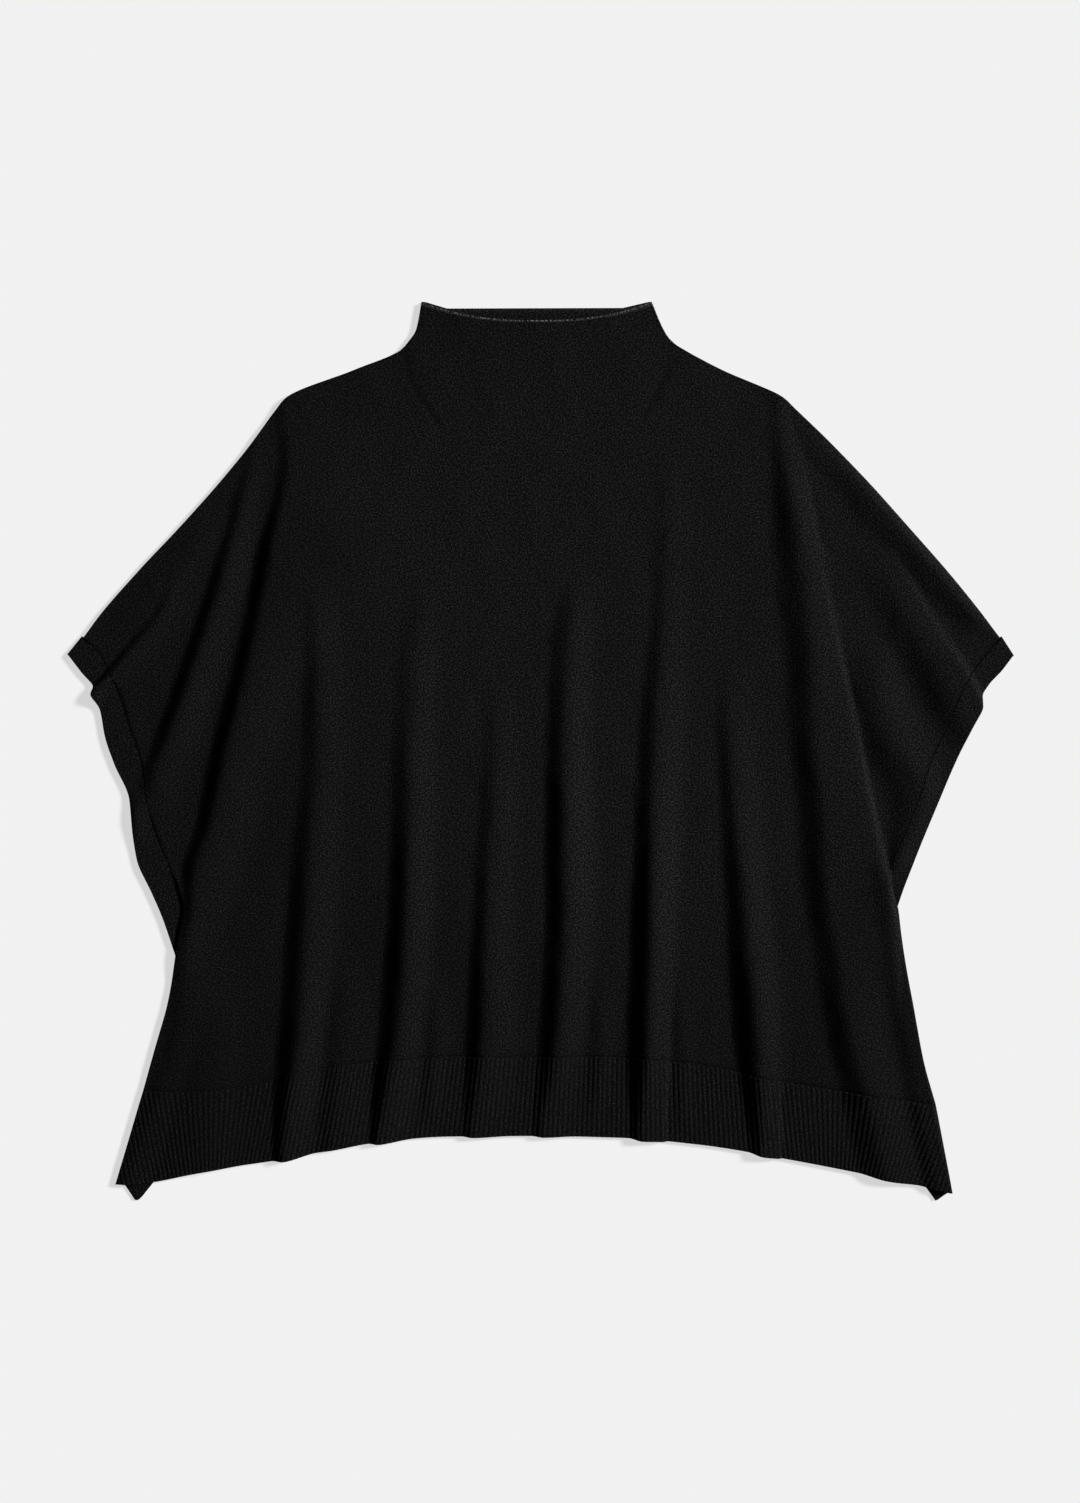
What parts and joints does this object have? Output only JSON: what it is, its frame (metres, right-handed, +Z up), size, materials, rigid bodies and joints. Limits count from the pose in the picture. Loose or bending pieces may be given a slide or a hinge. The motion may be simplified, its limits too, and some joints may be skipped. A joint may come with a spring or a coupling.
{
  "type": "knitted poncho sweater",
  "caption": "Knitted poncho sweater laid flat: wide draped body, short batwing sleeves with banded armholes, funnel neck and a ribbed hem.",
  "frame": {"origin": "middle of the garment's bounding rectangle, on the flat underside that rests on the surface", "axes": "+X across the garment towards the right of the picture, which is the wearer's left; +Y from the hem towards the neck; +Z up from the surface, out of the front"},
  "size_m": [0.8515, 0.809, 0.0162],
  "materials": {
    "jersey_knit": "soft matte plain knit in near-black wool, fine upright wales and a short fuzz",
    "rib_knit": "soft matte one by one rib knit in near-black wool",
    "band_knit": "soft matte knit band in near-black wool, its wales along the band"
  },
  "bodies": {
    "root": {"back_panel": "jersey_knit", "front_panel": "jersey_knit", "back_hem_rib": "rib_knit", "front_hem_rib": "rib_knit", "left_armhole_band": "band_knit", "right_armhole_band": "band_knit"}
  },
  "joints": []
}
